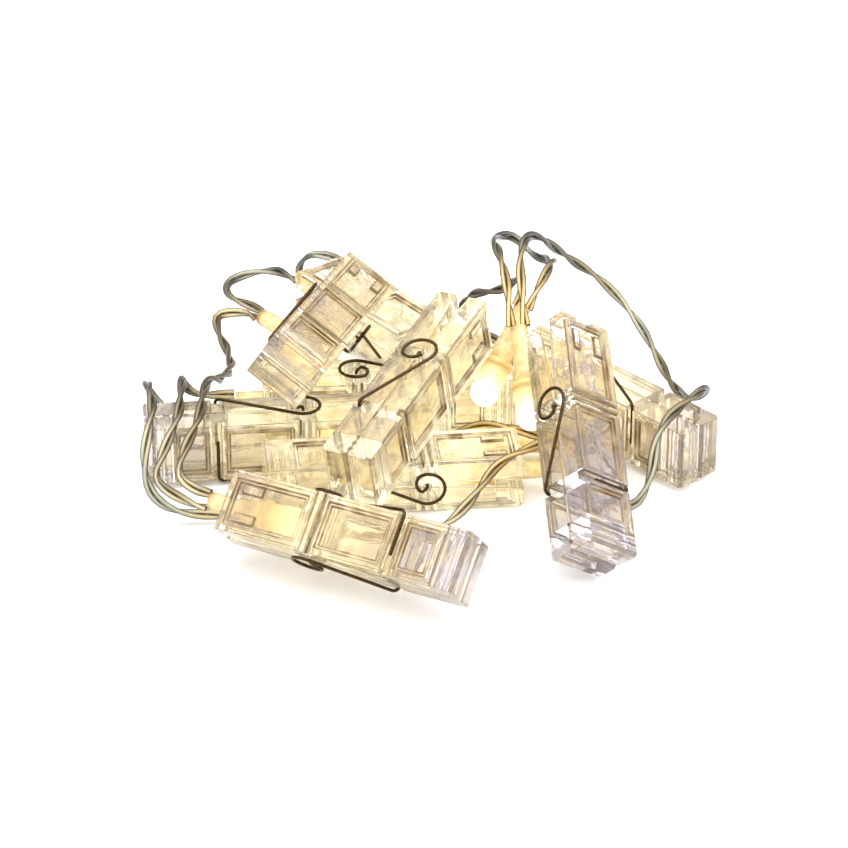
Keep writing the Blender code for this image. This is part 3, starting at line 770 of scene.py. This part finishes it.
# Painted lamp light and shade: both ramps colour the plastic by the light it catches
painted_light_tint = add(tree, "ShaderNodeValToRGB",
           {"stops": [(0.0, "#C3BDC6"), (0.1, "#DCCBB8"), (0.35, "#E6D6AA"), (0.65, "#F3E4B2"),
                      (1.0, "#FFF9E0")]},
           {"Fac": caught.outputs[0]})
pale = add(tree, "ShaderNodeValToRGB", {"stops": [(0.0, "#F1EEF2"), (0.25, "#F8F0E2"), (1.0, "#FBF2D8")]},
           {"Fac": caught.outputs[0]})
# Painted edge shade: tan where the edge lines fall
colour = add(tree, "ShaderNodeMix", {"data_type": "RGBA", 7: linear("#6E5028")},
             {0: drawn, 6: painted_light_tint.outputs["Color"]})
# Painted lamp light: the plastic gives off its own colour as a glow, strongest where it catches most, none on
# the edge lines
positive = add(tree, "ShaderNodeMath", {"operation": "MAXIMUM", 1: 0.0}, {0: caught.outputs[0]})
steep = add(tree, "ShaderNodeMath", {"operation": "POWER", 1: 2.5}, {0: positive.outputs[0]})
undrawn = add(tree, "ShaderNodeMath", {"operation": "SUBTRACT", 0: 1.0}, {1: drawn})
bright = add(tree, "ShaderNodeMath", {"operation": "MULTIPLY"}, {0: steep.outputs[0], 1: undrawn.outputs[0]})
body = add(tree, "ShaderNodeBsdfPrincipled", {"Roughness": 0.25, "IOR": 1.5},
           {"Base Color": colour.outputs[2], "Normal": bump.outputs["Normal"],
            "Emission Color": colour.outputs[2], "Emission Strength": bright.outputs[0]})
shader = add(tree, "ShaderNodeBsdfPrincipled", {"Roughness": 0.03, "IOR": 1.5, "Transmission Weight": 1.0},
             {"Base Color": pale.outputs["Color"], "Normal": bump.outputs["Normal"]})
# The painted edge shade also makes the plastic less clear along those lines
share = add(tree, "ShaderNodeMapRange", {"To Min": 0.11, "To Max": 0.84}, {"Value": drawn})
both = add(tree, "ShaderNodeMixShader", None,
           {0: share.outputs[0], 1: shader.outputs[0], 2: body.outputs[0]})
add(tree, "ShaderNodeOutputMaterial", None, {"Surface": both.outputs[0]})

shells = {"fixed": half_shell(True), "moving": half_shell(False)}
for number, place in peg_frames.items():
    for half, shape in shells.items():
        mesh = shape.copy()
        mesh.transform(place)
        store_glow(mesh)
        body = "string" if half == "fixed" else f"peg_{number}_jaw"
        finished(f"peg_{number}_{half}_shell", mesh, clear, body, "clear_polystyrene",
                 f"peg_{number}_{half}_half")


# Springs. Each is one length of hard-drawn steel wire: it crosses between the halves as the peg's pivot,
# makes a loop on each side, and hooks into the cross groove of a half. Here it is two pieces, which meet
# in the middle of the pivot.
LOOP_RADIUS = 2.9 * MM
LOOP_START = math.radians(-30.0)
LOOP_CENTRE_SHARE = 0.35
CORNER_RADIUS = 1.1 * MM
HOOK_REACH_SHARE = 0.68
POINTS_A_TURN = 36
CORNER_STEPS = 8
WIRE_ROUNDNESS = 3
DRAWN_SHARE = 0.74                 # the wire looks this much thinner than its nominal size


def spring_side():
    """Half of the spring: from the pivot bar out, round the loop, along the arm and over the hook."""
    side = PEG_WIDTH / 2 + PLAY + WIRE / 2
    hook = Vector((HOOK_FROM_PIVOT, side, HALF_DEPTH - HOOK_GROOVE / 2))
    reach = math.hypot(hook.x, hook.z)
    leave = math.atan2(hook.z, hook.x) - math.acos(LOOP_RADIUS / reach) + math.tau
    points = [Vector((0, 0, 0)), Vector((0, side - 2 * WIRE, 0)), Vector((0, side - WIRE, 0)),
              Vector((WIRE * 0.25, side - WIRE * 0.3, 0))]
    steps = round((leave - LOOP_START) / math.tau * POINTS_A_TURN)
    for step in range(steps + 1):
        angle = LOOP_START + (leave - LOOP_START) * step / steps
        grown_share = min(1.0, LOOP_CENTRE_SHARE + (1 - LOOP_CENTRE_SHARE) * step / (POINTS_A_TURN / 4))
        radius = LOOP_RADIUS * grown_share
        points.append(Vector((radius * math.cos(angle), side, radius * math.sin(angle))))
    along = (hook - points[-1]).normalized()
    middle = hook - along * CORNER_RADIUS - Vector((0, CORNER_RADIUS, 0))
    for step in range(CORNER_STEPS + 1):
        angle = math.pi / 2 * step / CORNER_STEPS
        sideways = Vector((0, CORNER_RADIUS, 0)) * math.cos(angle)
        points.append(middle + sideways + along * CORNER_RADIUS * math.sin(angle))
    points.append(Vector((hook.x, PEG_WIDTH * (1 / 2 - HOOK_REACH_SHARE), hook.z)))
    return points


# Hard-drawn carbon steel wire, oiled black-brown: dark, with a bright line along the light
wire, tree = new_material("drawn_steel_wire")
place = add(tree, "ShaderNodeTexCoord")
GRAINS_PER_METRE = 6000.0        # each about 0.17 mm; real drawing lines are finer than the render shows
grain = add(tree, "ShaderNodeTexNoise", {"Scale": GRAINS_PER_METRE, "Detail": 2.0},
            {"Vector": place.outputs["Object"]})
tone = add(tree, "ShaderNodeValToRGB", {"stops": [(0.3, "#2C2217"), (0.7, "#5A472D")]},
           {"Fac": grain.outputs["Fac"]})
sheen = add(tree, "ShaderNodeMapRange", {"To Min": 0.2, "To Max": 0.36}, {"Value": grain.outputs["Fac"]})
shader = add(tree, "ShaderNodeBsdfPrincipled", {"Metallic": 1.0},
             {"Base Color": tone.outputs["Color"], "Roughness": sheen.outputs["Result"]})
add(tree, "ShaderNodeOutputMaterial", None, {"Surface": shader.outputs[0]})

outward = swept("spring_side", spring_side(), WIRE * DRAWN_SHARE / 2, WIRE_ROUNDNESS)
inward = outward.copy()
inward.transform(Matrix.Rotation(math.pi, 4, "X"))
for number, place in peg_frames.items():
    for half, shape, body in (("moving", outward, f"peg_{number}_jaw"), ("fixed", inward, "string")):
        mesh = shape.copy()
        mesh.transform(place)
        finished(f"peg_{number}_{half}_wire", mesh, wire, body, "spring_steel",
                 *([f"peg_{number}_spring"] if half == "fixed" else []))


# The table top and the light. The pile lies on white paper, under a wide soft source with a weaker one at
# each side, and the room's brown and grey shades show in the clear plastic.
TOP_REACH = 3.0
TOP_DROP = 0.2 * MM              # keeps the paper just under the pegs that lie on it
FIBRES_PER_METRE = 300.0         # tufts of about 3.3 mm, since single fibres are too fine to show
paper, tree = new_material("white_paper_sweep")
place = add(tree, "ShaderNodeTexCoord")
fibre = add(tree, "ShaderNodeTexNoise", {"Scale": FIBRES_PER_METRE, "Detail": 4.0},
            {"Vector": place.outputs["Object"]})
pulp = add(tree, "ShaderNodeValToRGB", {"stops": [(0.0, "#FBFBFB"), (1.0, "#FFFFFF")]},
           {"Fac": fibre.outputs["Fac"]})
shader = add(tree, "ShaderNodeBsdfPrincipled", {"Roughness": 0.9, "Specular IOR Level": 0.1},
             {"Base Color": pulp.outputs["Color"]})
add(tree, "ShaderNodeOutputMaterial", None, {"Surface": shader.outputs[0]})
sweep = bpy.data.meshes.new("table_top")
corners = [(x * TOP_REACH, y * TOP_REACH, -TOP_DROP) for x, y in ((-1, -1), (1, -1), (1, 1), (-1, 1))]
sweep.from_pydata(corners, [], [(0, 1, 2, 3)])
table_top = bpy.data.objects.new("table_top", sweep)
bpy.context.collection.objects.link(table_top)
sweep.materials.append(paper)

bpy.context.scene.view_settings.view_transform = "Standard"
world = bpy.data.worlds.new("studio")
bpy.context.scene.world = world
world.use_nodes = True
tree = world.node_tree
tree.nodes.clear()
place = add(tree, "ShaderNodeTexCoord")
parts = add(tree, "ShaderNodeSeparateXYZ", None, {"Vector": place.outputs["Generated"]})
sky = add(tree, "ShaderNodeValToRGB",
          {"stops": [(0.0, "#6B5533"), (0.08, "#C2AA7E"), (0.16, "#F6F0E4"), (0.3, "#9C97A8"),
                     (0.38, "#EFEDF2"), (0.6, "#FFFFFF")]},
          {"Fac": parts.outputs["Z"]})
background = add(tree, "ShaderNodeBackground", {"Strength": 1.25}, {"Color": sky.outputs["Color"]})
add(tree, "ShaderNodeOutputWorld", None, {"Surface": background.outputs[0]})


def area_light(name, place, size, power):
    data = bpy.data.lights.new(name, "AREA")
    data.size = size
    data.energy = power
    lamp = bpy.data.objects.new(name, data)
    bpy.context.collection.objects.link(lamp)
    lamp.location = place
    lamp.rotation_euler = (-Vector(place)).to_track_quat("-Z", "Y").to_euler()


area_light("overhead", (0.1, 0.05, 0.8), 1.3, 11.5)
area_light("left", (-0.7, -0.3, 0.4), 0.4, 2)
area_light("right", (0.7, -0.2, 0.5), 0.4, 2)
